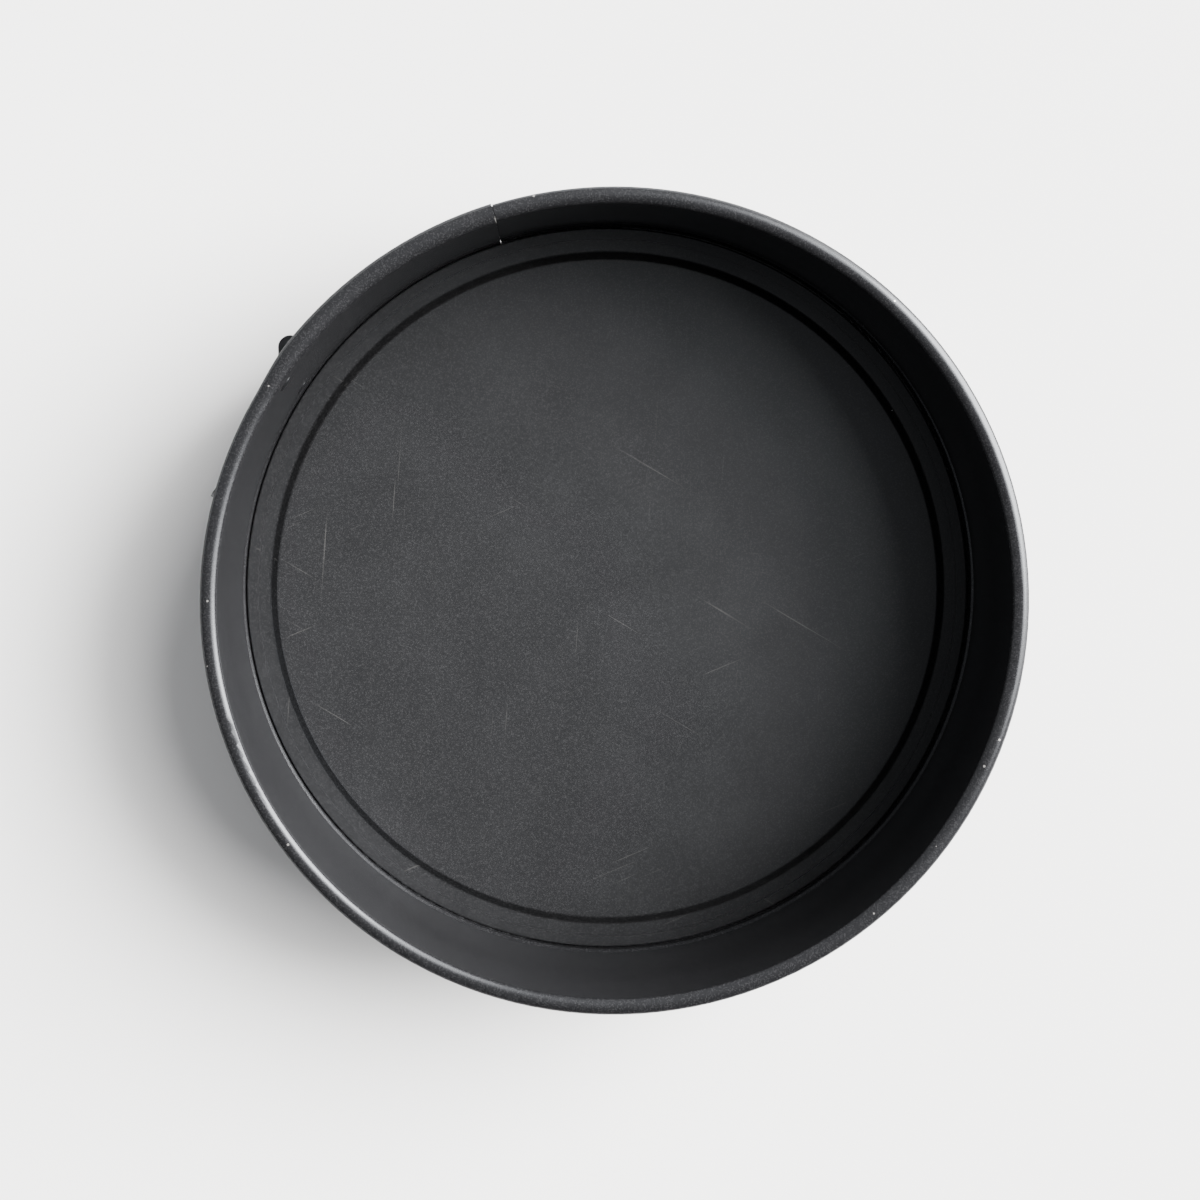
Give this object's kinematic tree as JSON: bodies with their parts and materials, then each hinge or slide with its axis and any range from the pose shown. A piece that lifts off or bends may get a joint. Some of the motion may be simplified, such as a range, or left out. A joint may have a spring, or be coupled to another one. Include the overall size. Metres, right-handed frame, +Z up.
{
  "type": "springform pan",
  "caption": "Round springform cake pan: split steel band with rolled rim and over-centre side latch, around a loose raised base plate.",
  "frame": {"origin": "on the pan's axis, in the plane that it stands on", "axes": "+Z up along the pan's axis; the latch's pivot lies at 141.7 degrees from +X towards +Y"},
  "size_m": [0.2406, 0.2404, 0.068],
  "materials": {
    "band_coat": "dark grey non-stick coating, semi-gloss with fine metallic speckle",
    "base_coat": "dark grey non-stick coating, semi-gloss",
    "latch_coat": "dark coating, satin",
    "plated_steel": "zinc-plated steel, satin"
  },
  "bodies": {
    "band_back": {"band_back": "band_coat"},
    "base": {"base_plate": "base_coat"},
    "latch_end": {"band_latch_end": "band_coat", "latch_bracket": "latch_coat", "bracket_rivets": "latch_coat", "lever_pin": "latch_coat"},
    "lever": {"lever": "latch_coat"},
    "bail": {"bail": "plated_steel"},
    "tail_end": {"band_tail_end": "band_coat", "catch": "latch_coat", "catch_rivets": "latch_coat"}
  },
  "joints": [
    {"name": "base_lift", "type": "slide", "parent": "band_back", "child": "base", "axis": [0, 0, 1], "range_m": [0, 0.08]},
    {"name": "latch_end_flex", "type": "hinge", "parent": "band_back", "child": "latch_end", "pos_m": [-0.10116, -0.06445, 0], "axis": [0, 0, 1], "range_deg": [0, 3.2]},
    {"name": "tail_end_flex", "type": "hinge", "parent": "band_back", "child": "tail_end", "pos_m": [0.10159, 0.06472, 0], "axis": [0, 0, -1], "range_deg": [0, 3.2]},
    {"name": "lever_turn", "type": "hinge", "parent": "latch_end", "child": "lever", "pos_m": [-0.09543, 0.07537, 0.034], "axis": [0, 0, -1], "range_deg": [0, 160]},
    {"name": "bail_swing", "type": "hinge", "parent": "lever", "child": "bail", "pos_m": [-0.09859, 0.06802, 0.034], "axis": [0, 0, 1], "range_deg": [0, 160]}
  ],
  "couplings": [
    {"joint": "latch_end_flex", "follows": "lever_turn", "ratio": 0.02},
    {"joint": "tail_end_flex", "follows": "lever_turn", "ratio": 0.02},
    {"joint": "bail_swing", "follows": "lever_turn", "ratio": 1}
  ]
}
